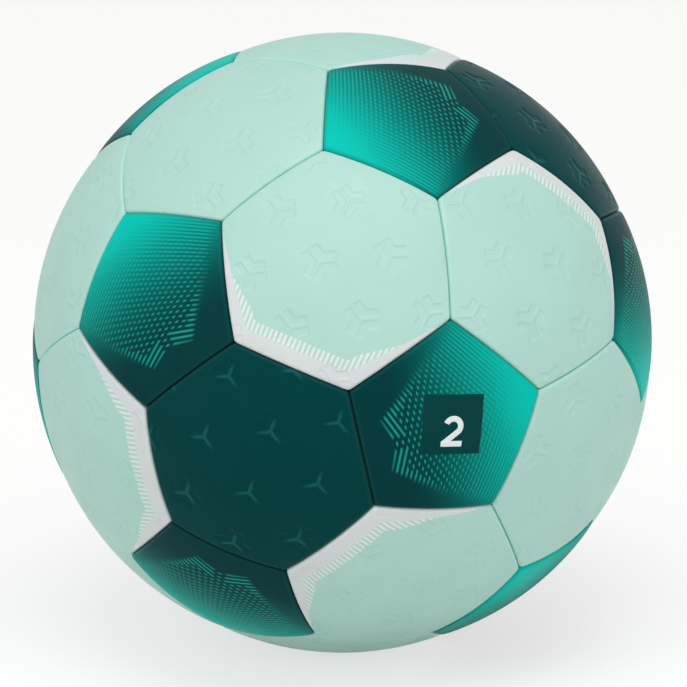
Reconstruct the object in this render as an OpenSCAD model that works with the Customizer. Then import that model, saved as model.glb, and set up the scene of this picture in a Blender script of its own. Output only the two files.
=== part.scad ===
// Stitched handball of 32 panels: 20 hexagons and 12 pentagons round an inflated bladder.
// The origin is the middle of the ball. +Z is up and +Y points out through the valve.

/* [Ball] */
// Circumference of the pumped-up ball
ball_circumference = 550; // [540:1:560]
// How far the middle of a hexagon stands proud of its sides, over one plain sphere
panel_crown = 0.5; // [0.3:0.1:1.0]

/* [Panels] */
// Thickness of the synthetic leather cover and of its hems
cover_t = 1.2; // [0.9:0.1:1.5]
// Thickness of the foam under the middle of a cover
foam_t = 2.4; // [2:0.1:3]
// Thickness of the woven lining bonded under the foam
lining_t = 1.3; // [1:0.1:1.6]
// Radius of the turned edge beside a seam
shoulder_r = 1.0; // [0.8:0.1:2]
// Space between two hems that are sewn together
seam_gap = 0.1; // [0.05:0.01:0.2]

/* [Stitching] */
// Distance from one stitch to the next
stitch_pitch = 5; // [4:0.1:6]
// Width of the waxed thread where it lies flat along a hem
thread_w = 0.8; // [0.7:0.05:0.9]
// Thickness of the waxed thread, flat along a hem or round in a hole
thread_t = 0.6; // [0.4:0.05:0.65]
// Height of the stitch row over the lower edge of the hem
stitch_rise = 1.2; // [0.8:0.1:1.4]

/* [Bladder] */
// Wall of the rubber bladder
bladder_t = 0.9; // [0.6:0.1:1.4]

/* [Valve] */
// Diameter of the valve's head, seen through the hole in its panel
head_d = 6; // [5.6:0.1:6.6]
// Depth of the head below the face of its panel
head_recess = 0.4; // [0.2:0.1:0.6]
// Diameter of the valve core's shank
shank_d = 4.4; // [4:0.1:4.8]
// Diameter of the collar that goes through the bladder and the panel's backing
collar_d = 11; // [10:0.1:12]
// Diameter of the flange that is bonded inside the bladder
flange_d = 26; // [22:1:30]
// Thickness of the flange at its rim
flange_t = 1.6; // [1.2:0.1:2]
// Diameter of the boot below the flange
boot_d = 9.4; // [9:0.1:9.8]
// Length of the boot below the flange
boot_l = 11; // [10:0.5:13]
// Diameter of the channel that takes a pump needle
needle_d = 2; // [1.6:0.1:2.2]
// Length of that channel below its funnel
needle_l = 9; // [7:0.5:10]

/* [Hidden] */
$fn = 90;

// Turns
half_turn = 180;
quarter_turn = half_turn / 2;
fifth = 2 * half_turn / 5;
// Turn of all the panels about the valve
panel_turn = 23.4;

// Angles at the middle of the ball between the middles of neighbouring panels
hex_to_hex = acos(sqrt(5) / 3);
hex_to_pent = acos(sqrt((5 + 2 * sqrt(5)) / 15));
pent_to_pent = atan(2);
// Angles from the middle of a panel to its seams, and half the angle that a seam spans
hex_half = hex_to_hex / 2;
pent_half = hex_to_pent - hex_half;
seam_half = asin(2 / sqrt(58 + 18 * sqrt(5)));

// Hexagons lie in four rings round the valve: [angle from the valve, start of the ring]
HEX_RINGS = [[hex_to_pent, fifth / 2], [hex_to_pent + hex_to_hex, fifth / 2],
             [half_turn - hex_to_pent - hex_to_hex, 0], [half_turn - hex_to_pent, 0]];
// Hexagons by ring and place in it. Dark ones lie as far apart as four can, and plain ones opposite them.
DARK = [[0, 2], [1, 0], [2, 4], [3, 2]];
PLAIN = [[0, 4], [1, 1], [2, 3], [3, 0]];
BANDED = [for (ring = [0:3]) for (k = [0:4])
    if (!holds(DARK, [ring, k]) && !holds(PLAIN, [ring, k])) [ring, k]];
ALL_HEX = concat(DARK, PLAIN, BANDED);
// The sides of each ring's hexagons whose seam is counted there, so that each seam between two counts once
HEX_SEAM_SIDES = [[0, 2], [1, 5], [0], [1]];

// Radii from the middle of the ball
ball_r = ball_circumference / (2 * PI);
hem_depth = cover_t + foam_t + lining_t;
hem_r = ball_r - hem_depth;
foam_r = ball_r - cover_t - foam_t;
// Clearance between pieces that are bonded or pressed together
layer_gap = 0.1;
bladder_r = hem_r - layer_gap;
bladder_in_r = bladder_r - bladder_t;
// Run of a cut past the face that it cuts
overrun = 1;

// The crown is a sphere a little smaller than the ball, through the middle of the panel's face.
crown_run = ball_r * sin(hex_half);
crown_fall = ball_r * (1 - cos(hex_half)) + panel_crown;
crown_r = (crown_run * crown_run + crown_fall * crown_fall) / (2 * crown_fall);
// Shares of the shoulder's arc that are left uncut, because the arc runs nearly flush there
shoulder_start_share = 0.2;
shoulder_end_share = 0.8;
// Turn that a shoulder's cut spans, over the turn that the seam spans
shoulder_span_share = 1.6;

// Stitches
thread_gap = 0.05;
stitch_r = hem_r + stitch_rise;
stitch_step = stitch_pitch / stitch_r * half_turn / PI;
// Length at each end of a seam that the corner takes from the stitch row, as a share of cover and threads
corner_room_share = 1.05;
corner_room = (cover_t + thread_t + thread_w) * corner_room_share;
stitch_count = floor((2 * seam_half * PI / half_turn * stitch_r - 2 * corner_room) / stitch_pitch) + 1;
thread_z = seam_gap / 2 + cover_t + thread_gap;
// Distance from the seam to the foam and the lining, which leave room for the thread
backing_inset = thread_z + thread_t + thread_gap;

// Places along the valve's axis, counted from the middle of the ball
head_top = ball_r - head_recess;
collar_top = ball_r - cover_t - layer_gap;
head_seat = 0.8;
head_low = collar_top - head_seat;
flange_low = sqrt(pow(bladder_in_r - layer_gap, 2) - pow(flange_d / 2, 2)) - flange_t;
boot_low = flange_low - boot_l;
// Mouth of the needle's funnel, as a share of the channel's diameter
funnel_share = 1.6;
funnel_d = needle_d * funnel_share;
funnel_l = 1.2;
funnel_end = head_top - funnel_l;
needle_end = funnel_end - needle_l;
// Chamfer at the boot's foot, as a share of its diameter
boot_taper_share = 0.1;
boot_taper = boot_d * boot_taper_share;
// The core's nose, of which a share stays inside the boot, and its locking ring
nose_l = 4;
nose_share = 0.5;
nose_in_share = 0.5;
nose_d = shank_d * nose_share;
nose_top = boot_low + nose_l * nose_in_share;
lock_share = 0.2;
lock_r = shank_d * lock_share;
lock_z = (flange_low + boot_low) / 2;
core_gap = 0.05;

function holds(list, item) = len([for (x = list) if (x == item) x]) > 0;

// Puts a shape's +Z on the valve's axis
module out_of_valve() {
    rotate([-quarter_turn, 0, 0]) rotate([0, 0, panel_turn]) children();
}

// Puts a shape's +Z through the middle of a hexagon, whose side 0 is the one furthest from the valve
module at_hexagon(place) {
    ring = HEX_RINGS[place[0]];
    out_of_valve() rotate([0, 0, ring[1] + place[1] * fifth]) rotate([0, ring[0], 0]) children();
}

// Puts a shape's +Z through the middle of pentagon 0 to 11: the valve's, two rings of five, and the last
module at_pentagon(i) {
    ring = i == 0 ? 0 : i == 11 ? 3 : i < 6 ? 1 : 2;
    polar = [0, pent_to_pent, half_turn - pent_to_pent, half_turn][ring];
    start = [0, 0, fifth / 2, 0][ring];
    roll = ring == 1 ? 0 : fifth / 2;
    out_of_valve() rotate([0, 0, start + (i - 1) % 5 * fifth]) rotate([0, polar, 0])
        rotate([0, 0, roll]) children();
}

// Puts a shape's +X through the middle of one side's seam and its +Z square to the seam, into the panel
module at_side(n, half, side) {
    rotate([0, 0, side * 2 * half_turn / n]) rotate([0, half - quarter_turn, 0]) children();
}

// The sphere that a panel's face follows, taken in by depth
module crown_ball(depth) {
    translate([0, 0, ball_r - crown_r]) rotate([quarter_turn, 0, 0]) sphere(crown_r - depth);
}

module round_ball(r) {
    rotate([quarter_turn, 0, 0]) sphere(r);
}

// Everything beyond the planes that lie inset from the panel's seams
module outside_sides(n, half, inset) {
    reach = 2 * ball_r;
    for (side = [0:n - 1]) at_side(n, half, side)
        translate([-reach, -reach, inset - 2 * reach]) cube(2 * reach);
}

// What is cut from a square edge to leave its turned shoulder
module shoulder_cut(half) {
    h = seam_gap / 2 + shoulder_r;
    from_middle = ball_r - crown_r;
    rise = sqrt(pow(crown_r - shoulder_r, 2) - pow(h - from_middle * sin(half), 2));
    rho = from_middle * cos(half) + rise;
    turn = 2 * seam_half * shoulder_span_share;
    rotate([0, 0, -turn / 2]) rotate_extrude(angle = turn) difference() {
        translate([rho + shoulder_start_share * shoulder_r, 0])
            square([shoulder_r + overrun, shoulder_end_share * h]);
        translate([rho, h]) circle(shoulder_r);
    }
}

// One turn of children for each stitch of a seam, with +X through the stitch
module each_stitch() {
    for (k = [0:stitch_count - 1]) rotate([0, 0, (k - (stitch_count - 1) / 2) * stitch_step])
        translate([stitch_r, 0, 0]) children();
}

// One cover: a crowned face, turned shoulders, and hems punched for their stitches
module cover(n, half) {
    difference() {
        difference() {
            difference() {
                crown_ball(0);
                outside_sides(n, half, seam_gap / 2);
                round_ball(hem_r);
            }
            for (side = [0:n - 1]) at_side(n, half, side) shoulder_cut(half);
        }
        difference() {
            crown_ball(cover_t);
            outside_sides(n, half, seam_gap / 2 + cover_t);
        }
        for (side = [0:n - 1]) at_side(n, half, side) each_stitch()
            translate([0, 0, -overrun])
                cylinder(h = cover_t + seam_gap + 2 * overrun, d = thread_t + 2 * thread_gap);
    }
}

module foam_pad(n, half) {
    difference() {
        crown_ball(cover_t + layer_gap);
        outside_sides(n, half, backing_inset);
        round_ball(foam_r);
    }
}

module lining_piece(n, half) {
    difference() {
        round_ball(foam_r - layer_gap);
        outside_sides(n, half, backing_inset);
        round_ball(hem_r);
    }
}

// The saddle stitches of one seam: a flat thread along each hem, joined through the holes
module seam_stitches() {
    turn = (stitch_count - 1) * stitch_step + 2 * thread_w / stitch_r * half_turn / PI;
    rotate([0, 0, -turn / 2])
        for (z = [thread_z, -thread_z - thread_t]) rotate_extrude(angle = turn)
            translate([stitch_r - thread_w / 2, z]) square([thread_w, thread_t]);
    each_stitch() cylinder(h = 2 * thread_z + thread_t, d = thread_t, center = true);
}

// The hole through the backing of the valve's panel and through the bladder
module collar_hole() {
    cylinder(h = ball_r + overrun, d = collar_d + 2 * layer_gap);
}

// Panels
dark_teal = "#06474b";
bright_teal = "#22b7a3";
mint = "#b4dccd";

module dark_hexagon(i) {
    color(dark_teal) at_hexagon(DARK[i - 1]) cover(6, hex_half);
}

module plain_hexagon(i) {
    color(mint) at_hexagon(PLAIN[i - 1]) cover(6, hex_half);
}

module banded_hexagon(i) {
    color(mint) at_hexagon(BANDED[i - 1]) cover(6, hex_half);
}

module pentagon(i) {
    color(bright_teal) at_pentagon(i - 1) cover(5, pent_half);
}

module valve_pentagon() {
    color(bright_teal) at_pentagon(0) difference() {
        cover(5, pent_half);
        cylinder(h = ball_r + overrun, d = head_d + 2 * layer_gap);
    }
}

// Backing
module hexagon_foam() {
    color("white") for (place = ALL_HEX) at_hexagon(place) foam_pad(6, hex_half);
}

module pentagon_foam() {
    color("white") {
        at_pentagon(0) difference() {
            foam_pad(5, pent_half);
            collar_hole();
        }
        for (i = [1:11]) at_pentagon(i) foam_pad(5, pent_half);
    }
}

module hexagon_lining() {
    color("beige") for (place = ALL_HEX) at_hexagon(place) lining_piece(6, hex_half);
}

module pentagon_lining() {
    color("beige") {
        at_pentagon(0) difference() {
            lining_piece(5, pent_half);
            collar_hole();
        }
        for (i = [1:11]) at_pentagon(i) lining_piece(5, pent_half);
    }
}

// All 90 seams: five round each pentagon and 30 between hexagons
module seam_thread() {
    color("ivory") {
        for (i = [0:11]) at_pentagon(i) for (side = [0:4])
            at_side(5, pent_half, side) seam_stitches();
        for (ring = [0:3]) for (k = [0:4]) at_hexagon([ring, k]) for (side = HEX_SEAM_SIDES[ring])
            at_side(6, hex_half, side) seam_stitches();
    }
}

module bladder() {
    color("dimgray") out_of_valve() difference() {
        round_ball(bladder_r);
        round_ball(bladder_in_r);
        collar_hole();
    }
}

// The valve core's outline, from its axis outwards, grown all round for the socket that holds it
module core_outline(grow) {
    translate([0, head_low - grow]) square([head_d / 2 + grow, head_top - head_low + 2 * grow]);
    translate([0, nose_top - grow]) square([shank_d / 2 + grow, head_low - nose_top + grow]);
    translate([shank_d / 2, lock_z]) circle(lock_r + grow);
    polygon([[0, nose_top - nose_l - grow], [nose_d / 2 + grow, nose_top - nose_l - grow],
             [shank_d / 2 + grow, nose_top - grow], [0, nose_top - grow]]);
}

module valve_core() {
    color("darkslategray") out_of_valve() difference() {
        rotate_extrude() core_outline(0);
        translate([0, 0, needle_end]) cylinder(h = needle_l + overrun, d = needle_d);
        translate([0, 0, funnel_end]) cylinder(h = funnel_l, d1 = needle_d, d2 = funnel_d);
    }
}

// Half of the housing's section: a flange that follows the bladder, with its collar and boot
module housing_outline() {
    intersection() {
        circle(bladder_in_r - layer_gap, $fn = 2 * $fn);
        translate([0, flange_low]) square([flange_d / 2, ball_r - flange_low]);
    }
    translate([0, flange_low]) square([collar_d / 2, collar_top - flange_low]);
    polygon([[0, boot_low], [boot_d / 2 - boot_taper, boot_low], [boot_d / 2, boot_low + boot_taper],
             [boot_d / 2, flange_low], [0, flange_low]]);
}

module valve_housing() {
    color("gray") out_of_valve() rotate_extrude() difference() {
        housing_outline();
        core_outline(core_gap);
    }
}

for (i = [1:4]) dark_hexagon(i);
for (i = [1:4]) plain_hexagon(i);
for (i = [1:12]) banded_hexagon(i);
valve_pentagon();
for (i = [2:12]) pentagon(i);
hexagon_foam();
pentagon_foam();
hexagon_lining();
pentagon_lining();
seam_thread();
bladder();
valve_housing();
valve_core();
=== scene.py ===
# Stitched handball: covers, print, valve, inner layers and the studio round them.
import math

import bpy
import numpy as np
from mathutils import Matrix, Vector


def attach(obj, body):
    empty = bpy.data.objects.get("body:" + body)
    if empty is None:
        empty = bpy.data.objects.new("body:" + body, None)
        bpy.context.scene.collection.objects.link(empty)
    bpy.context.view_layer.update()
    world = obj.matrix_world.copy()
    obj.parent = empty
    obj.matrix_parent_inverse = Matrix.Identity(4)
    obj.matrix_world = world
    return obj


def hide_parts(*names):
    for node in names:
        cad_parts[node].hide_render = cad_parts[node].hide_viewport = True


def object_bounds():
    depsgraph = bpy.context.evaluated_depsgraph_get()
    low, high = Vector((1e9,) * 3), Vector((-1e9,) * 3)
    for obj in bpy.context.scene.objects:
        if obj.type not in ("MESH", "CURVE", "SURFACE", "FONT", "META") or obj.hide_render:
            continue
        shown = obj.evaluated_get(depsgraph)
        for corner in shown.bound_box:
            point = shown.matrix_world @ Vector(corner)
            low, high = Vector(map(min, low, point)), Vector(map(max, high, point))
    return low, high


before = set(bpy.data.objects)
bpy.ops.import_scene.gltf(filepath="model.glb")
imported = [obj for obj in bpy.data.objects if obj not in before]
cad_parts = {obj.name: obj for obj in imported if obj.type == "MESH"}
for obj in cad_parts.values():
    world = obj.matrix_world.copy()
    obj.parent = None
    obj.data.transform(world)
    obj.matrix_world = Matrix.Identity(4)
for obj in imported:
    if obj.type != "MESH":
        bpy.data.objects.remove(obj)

CAD_BOX = [list(corner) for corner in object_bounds()]

bl_info = {
    "name": "Stitched Handball",
    "version": (1, 0, 0),
    "blender": (4, 5, 0),
    "location": "3D View > Sidebar > Handball",
    "description": "Covers, print, valve and inner layers of a stitched handball",
    "category": "Object",
}

# Angles at the middle of the ball between the middles of panels that touch
HEX_TO_HEX = math.acos(math.sqrt(5) / 3)
HEX_TO_PENT = math.acos(math.sqrt((5 + 2 * math.sqrt(5)) / 15))
PENT_TO_PENT = math.atan(2)
# Angles from the middle of a panel to its seams
HEX_HALF = HEX_TO_HEX / 2
PENT_HALF = HEX_TO_PENT - HEX_HALF
FIFTH = 2 * math.pi / 5
# Turn of all the panels about the valve
PANEL_TURN = math.radians(23.4)

# Rings of hexagons round the valve: angle from the valve, start of the ring
HEX_RINGS = [
    (HEX_TO_PENT, FIFTH / 2),
    (HEX_TO_PENT + HEX_TO_HEX, FIFTH / 2),
    (math.pi - HEX_TO_PENT - HEX_TO_HEX, 0),
    (math.pi - HEX_TO_PENT, 0),
]
DARK_PLACES = [(0, 2), (1, 0), (2, 4), (3, 2)]
PLAIN_PLACES = [(0, 4), (1, 1), (2, 3), (3, 0)]
BANDED_PLACES = [
    (ring, k)
    for ring in range(4)
    for k in range(5)
    if (ring, k) not in DARK_PLACES + PLAIN_PLACES
]
# Turns of the grip motif's three arms
ARM_TURNS = (0, 2 * math.pi / 3, -2 * math.pi / 3)
# Direction across one family of lines on a pentagon, at its middle
LINE_TURN = math.radians(27.7)
# Change of that family's rate along the panel's x axis, across both axes and along its y axis, per metre
LINE_SPREAD = (-1.55, 8.43, -3.55)
# One unit of the panels' UV map is this long on the panel's plane
UV_SPAN = 0.1

# Cover loops: rounds in which a loop's place is found from its inset, loops of the shoulder's arc, depth
# of the hem's inner corner in thicknesses of the cover, and shares of the way out for the inner loops
INSET_ROUNDS = 5
ARC_LOOPS = 6
INNER_CORNER = 1.6
INNER_SHARES = (0.66, 0.33)

# Distances from a seam, in metres, between which the motifs deepen, the crease fades (painted shade on
# dark leather, painted light on pale), and the polished shoulder, which carries a painted highlight,
# comes and goes
MOTIF_START = (0.0015, 0.0035)
CREASE_END = (0.0001, 0.0012)
SHOULDER_START = (0.0001, 0.0004)
SHOULDER_END = (0.0006, 0.0014)

# Places of the motifs' lattice on the three kinds of hexagon, in metres
MOTIF_SHIFTS = {"dark": (-0.0075, -0.0016), "plain": (0.0040, 0.0055), "banded": (0.0017, -0.0041)}
# Weight of the painted highlight on the ridges, and share of an arm from which a ridge fades
RIDGE_HIGHLIGHT_WEIGHT = 0.45
RIDGE_FADE = 0.35

# Heights of the leather's grain and of the printed lines, in metres
GRAIN_HEIGHT = 0.00003
INK_HEIGHT = 0.00012
# The leather's slow change of tone: its colour's factors, where its noise starts and ends, its weight and
# its change of roughness
TONE_SHADE = (0.72, 0.76, 0.78)
TONE_RANGE = (0.3, 0.7)
TONE_WEIGHT = 0.10
TONE_ROUGHNESS = 0.08
# The shoulder: weight of its painted highlight's colour, and change of roughness
EDGE_HIGHLIGHT_WEIGHT = 0.12
SHOULDER_POLISH = -0.10
# Colour's factors over the crease: painted light that makes pale leather paler, and painted shade that
# makes dark leather darker
PALE_FOLD_PAINTED_LIGHT = (1.05, 1.11, 1.11)
DARK_FOLD_PAINTED_SHADE = (0.86, 0.875, 0.875)

# Softness of the printed lines, as a share of their wave, and of the edges of band and ticks, in metres
LINE_SOFT = 0.25
BAND_SOFT = 0.00008
TICK_SOFT = 0.0001
# Ticks of the band: rate at which they shorten, distances from the band's middle between which they pass
# from their tapered length to their plain one, and threshold of their lines
TICK_TAPER = 0.49
TICK_BENDS = (0.0170, 0.0145)
TICK_THRESHOLD = 0.42

# The dark end of a pentagon's print, in metres: its reach along the panel's x axis, half the width and
# the rate of the notch between the lobes, and the start and the rate of the slopes beside them
PRINT_REACH = 0.0187
NOTCH_HALF = 0.0075
NOTCH_RATE = 0.3
SLOPE_START = 0.0080
SLOPE_RATE = 0.95
# A lobe's tip has one family of lines: from the print's end, and from the x axis
TIP_REACH = (-0.0055, -0.0040)
TIP_APART = (0.0016, 0.0028)
# Softness of the print's end at the lobes, and how much softer it grows down the slopes
END_SOFT = (-0.0012, 0.0006)
END_SOFTER = -0.6
# Places on the x axis between which the lines' threshold rises, the lines' colour dims, and the ground
# comes to show between the lines, from its first share to its full one
THINNING = (-0.012, 0.008, 0.5, 0.63)
LINE_DIMMING = (-0.030, 0.004)
OPENING = (-0.031, -0.017, 0.05, 1.0)
# Places on the x axis where the ground is darkest and brightest
GROUND_DARK = 0.016
GROUND_BRIGHT = -0.026
# Distances from a far side between which the lines along the other far side come in
FAR_SIDE_FADE = (0.001, 0.023)

# Lifts of the size patch and of its numeral's two strokes over the face, in metres
PATCH_LIFT = 0.00003
STROKE_LIFT = 0.00006
FOOT_LIFT = 0.00008

# The softboxes, in metres and watts: side, places and power. The places count towards the camera along
# the floor, to its right, and up from the ball's middle.
SOFTBOX_SIZE = 1.0
SOFTBOXES = {
    "overhead_softbox": (0.5, 0.0, 1.3, 9.5),
    "left_softbox": (0.9, -1.3, 0.25, 4.6),
    "right_softbox": (0.9, 1.3, 0.25, 4.6),
}
# Strength of the world's light on the ball, and shares of the floor's colour: as its ground and its glow
# for the rays that show it, and as its ground for all other rays
WORLD_LIGHT = 0.7
FLOOR_SEEN = 0.40
FLOOR_GLOW = 0.71
FLOOR_UNSEEN = 0.90


def linear(code):
    """The linear colour of a six-digit colour code: each channel's sRGB curve undone."""
    channels = np.array([int(code[i:i + 2], 16) / 255 for i in (0, 2, 4)])
    low = channels / 12.92
    high = ((channels + 0.055) / 1.055) ** 2.4
    return tuple(float(c) for c in np.where(channels <= 0.04045, low, high))


def length(name, description, default):
    return bpy.props.FloatProperty(
        name=name, description=description, default=default,
        min=0, precision=5, unit="LENGTH",
    )


def colour(name, description, code):
    return bpy.props.FloatVectorProperty(
        name=name, description=description, default=linear(code),
        min=0, max=1, size=3, subtype="COLOR",
    )


class HandballShape(bpy.types.PropertyGroup):
    """Sizes of the ball and of its covers"""

    ball_radius: length("Ball radius", "Radius of the pumped-up ball", 0.087535)
    crown: length("Crown", "How far a hexagon's middle stands proud of one sphere", 0.0005)
    cover: length("Cover", "Thickness of the synthetic leather", 0.0012)
    hem_depth: length("Hem depth", "Depth of the hems below the face", 0.0049)
    shoulder: length("Shoulder", "Radius of the turned edge beside a seam", 0.0010)
    seam_gap: length("Seam gap", "Space between two hems that are sewn together", 0.0001)
    edge_drop: length("Edge drop", "Extra fall of the padded face at its seams", 0.00015)
    edge_run: length("Edge run", "Width of that fall", 0.004)
    corner_power: bpy.props.FloatProperty(
        name="Corner power", description="Higher makes the corners sharper",
        default=90, min=8, max=200,
    )
    hexagon_cells: bpy.props.IntProperty(
        name="Hexagon cells", description="Grid cells from a hexagon's middle to a side",
        default=58, min=8, max=90,
    )
    pentagon_cells: bpy.props.IntProperty(
        name="Pentagon cells", description="Grid cells from a pentagon's middle to a side",
        default=54, min=8, max=90,
    )
    valve_hole: length("Valve hole", "Radius of the hole over the valve", 0.0031)


class HandballMotif(bpy.types.PropertyGroup):
    """Sizes of the grip motif in the hexagons: a three-armed hollow with a ridge along its arms"""

    pitch: length("Pitch", "Distance from one motif to the next", 0.0203)
    arm: length("Arm", "Length of an arm", 0.0051)
    half_width: length("Half width", "Half the width of the hollow's arms", 0.0030)
    ridge: length("Ridge", "Half the width of the ridge", 0.00025)
    soft: length("Softness", "Width of the slopes", 0.0005)
    depth: length("Depth", "Depth of the hollow", 0.00016)


class HandballPrint(bpy.types.PropertyGroup):
    """Sizes of the printed band, lines and size patch"""

    band_edge: length("Band edge", "Distance from a hexagon's middle to its band", 0.0278)
    band_half: length("Band half length", "Half the length of the band's straight part", 0.0163)
    tick_pitch: length("Tick pitch", "Distance from one tick of the band's comb to the next", 0.0015)
    tick_length: length("Tick length", "Length of the comb's ticks beside the straight part", 0.0033)
    comb_half: length("Comb half length", "Half the length of the comb", 0.0275)
    line_pitch: length("Line pitch", "Distance between lines at a pentagon's middle", 0.00147)
    patch_width: length("Patch width", "Width of the size patch", 0.0178)
    patch_height: length("Patch height", "Height of the size patch", 0.0173)
    patch_turn: bpy.props.FloatProperty(
        name="Patch turn", description="Turn of the size patch on its panel",
        default=math.radians(162), subtype="ANGLE",
    )
    stroke: length("Stroke", "Width of the numeral's stroke", 0.00165)


class HandballColours(bpy.types.PropertyGroup):
    """Colours of the covers, the print and the parts inside"""

    mint: colour("Mint", "Ground of the pale hexagons", "acd5ca")
    band: colour("Band", "The printed band", "d3d9d8")
    tick_light: colour("Light tick", "Light ticks of the band's comb", "d5eae3")
    tick_dark: colour("Dark tick", "Dark ticks of the band's comb", "bbcdc7")
    dark_teal: colour("Dark teal", "Ground of the dark hexagons", "003e3f")
    # A painted highlight on the motifs' ridges, fading along each arm
    ridge_highlight_teal: colour("Ridge highlight", "Ridges of the dark hexagons' motifs", "1c6c68")
    bright_teal: colour("Bright teal", "Bright end of the pentagons", "00c2b2")
    line_teal: colour("Line teal", "Lines and dots on the pentagons", "149487")
    deep_teal: colour("Deep teal", "Dark end of the pentagons", "00393b")
    # A painted highlight on the turned edges of the dark covers, lighter teal on every shoulder
    painted_edge_highlight: colour("Painted edge highlight", "Turned edges of the dark covers, with a painted highlight", "2f6b68")
    patch: colour("Patch", "Ground of the size patch", "003d3d")
    numeral: colour("Numeral", "The numeral on the size patch", "e3eaea")
    foam: colour("Foam", "Foam under the covers", "efece0")
    lining: colour("Lining", "Woven lining under the foam", "d9cfb4")
    thread: colour("Thread", "Waxed thread of the seams", "e8dfc4")
    bladder: colour("Bladder", "Rubber of the bladder", "2b2b2c")
    valve: colour("Valve", "Rubber of the valve's core", "1b2c2e")
    floor: colour("Floor", "The studio's floor", "f6f6f5")


# Panels

def valve_ward(polar, around):
    """A unit vector at a polar angle from the valve (+Y) and an angle round it."""
    a = around + PANEL_TURN
    x = math.sin(polar) * math.cos(a)
    y = math.sin(polar) * math.sin(a)
    return np.array([x, math.cos(polar), -y])


def panel_middles():
    """Each cover's name and the unit vector from the ball's middle through it."""
    middles = {}
    kinds = (("dark", DARK_PLACES), ("plain", PLAIN_PLACES), ("banded", BANDED_PLACES))
    for kind, places in kinds:
        for i, (ring, k) in enumerate(places):
            polar, start = HEX_RINGS[ring]
            middles[f"{kind}_hexagon_{i + 1}"] = valve_ward(polar, start + k * FIFTH)
    middles["valve_pentagon"] = valve_ward(0, 0)
    for i in range(10):
        near = i < 5
        polar = PENT_TO_PENT if near else math.pi - PENT_TO_PENT
        start = 0 if near else FIFTH / 2
        middles[f"pentagon_{i + 2}"] = valve_ward(polar, start + i % 5 * FIFTH)
    middles["pentagon_12"] = valve_ward(math.pi, 0)
    return middles


MIDDLES = panel_middles()


class Panel:
    """A cover's place and outline. Its own x axis points at the neighbour that its print follows."""

    def __init__(self, name):
        self.name = name
        self.sides = 6 if "hexagon" in name else 5
        self.half = HEX_HALF if self.sides == 6 else PENT_HALF
        z = MIDDLES[name]
        follows = "dark" if "banded" in name or self.sides == 5 else "banded"
        # Panels touch if their middles are hardly farther apart than those of two hexagons.
        reach = math.cos(HEX_TO_HEX * 1.05)
        touching = [
            other for title, other in MIDDLES.items()
            if title.startswith(follows) and title != name and other @ z > reach
        ]
        toward = max(touching, key=lambda other: other[2])
        x = toward - z * (toward @ z)
        x /= np.linalg.norm(x)
        self.axes = np.stack([x, np.cross(z, x), z])

    def place(self, plane, radii):
        """Points at these distances from the middle, on rays through points of the plane one unit out."""
        out = np.column_stack([plane, np.ones(len(plane))])
        out *= (radii / np.linalg.norm(out, axis=1))[:, None]
        return out @ self.axes


def crown_radius(away, shape):
    """Distance from the ball's middle to the crown's sphere, along a ray that meets the plane one unit
    out this far away from the panel's axis."""
    run = shape.ball_radius * math.sin(HEX_HALF)
    fall = shape.ball_radius * (1 - math.cos(HEX_HALF)) + shape.crown
    sphere = (run * run + fall * fall) / (2 * fall)
    offset = shape.ball_radius - sphere
    along = 1 / np.sqrt(1 + away * away)
    return offset * along + np.sqrt(sphere ** 2 - offset ** 2 * (1 - along ** 2))


def outline_reach(turns, panel, shape):
    """The rounded outline in the plane one unit out: the tangent to a side, over a high power mean of
    the cosines of the angles to all the sides. The power mean rounds the corners."""
    to_sides = turns[:, None] - 2 * np.pi / panel.sides * np.arange(panel.sides)
    cosines = np.maximum(np.cos(to_sides), 0)
    power = shape.corner_power
    return math.tan(panel.half) / (cosines ** power).sum(1) ** (1 / power)


def seam_distance(plane, panel, shape):
    """Distance in metres from the hem's wall to the face's points above points of the plane one unit out:
    the share of the way that is left to the outline, times the length of that way."""
    away = np.linalg.norm(plane, axis=1)
    turns = np.arctan2(plane[:, 1], plane[:, 0])
    inward = 1 - away / outline_reach(turns, panel, shape)
    scale = crown_radius(away, shape) * math.sin(panel.half) / np.sqrt(1 + away ** 2)
    return scale * inward - shape.seam_gap / 2


def edge_fall(inset, shape):
    """Fall of the padded face near a seam: a parabola that starts edge_run from the seam."""
    return shape.edge_drop * np.maximum(0, 1 - inset / shape.edge_run) ** 2


def eased(value, low, high):
    """0 below low, 1 above high, and a smooth S between them."""
    t = np.clip((value - low) / (high - low), 0, 1)
    return t * t * (3 - 2 * t)


def motif_depth(flat, motif, shift):
    """Share of the hollow's depth at points of the panel's plane, in metres. A motif stands at each point
    of a triangular lattice. A point's distance along the nearest arm is the greatest of its dot products
    with the three arms, and its distance across that arm is the other side of the right triangle. The
    hollow is where both are small, less the ridge where the distance across is smaller still, all with
    eased edges."""
    width = motif.pitch
    height = motif.pitch * math.sqrt(3)
    deepest = np.zeros(len(flat))
    for half_step in (0.0, 0.5):
        x = flat[:, 0] - shift[0] - half_step * width
        y = flat[:, 1] - shift[1] - half_step * height
        x -= width * np.round(x / width)
        y -= height * np.round(y / height)
        arms = [x * math.cos(turn) + y * math.sin(turn) for turn in ARM_TURNS]
        along = np.max(arms, axis=0)
        across = np.sqrt(np.maximum(x * x + y * y - along * along, 0))
        inside = 1 - eased(along, motif.arm - motif.soft, motif.arm)
        inside *= 1 - eased(across, motif.half_width - motif.soft, motif.half_width)
        inside *= eased(across, motif.ridge, motif.ridge + motif.soft)
        deepest = np.maximum(deepest, inside)
    return deepest


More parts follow.
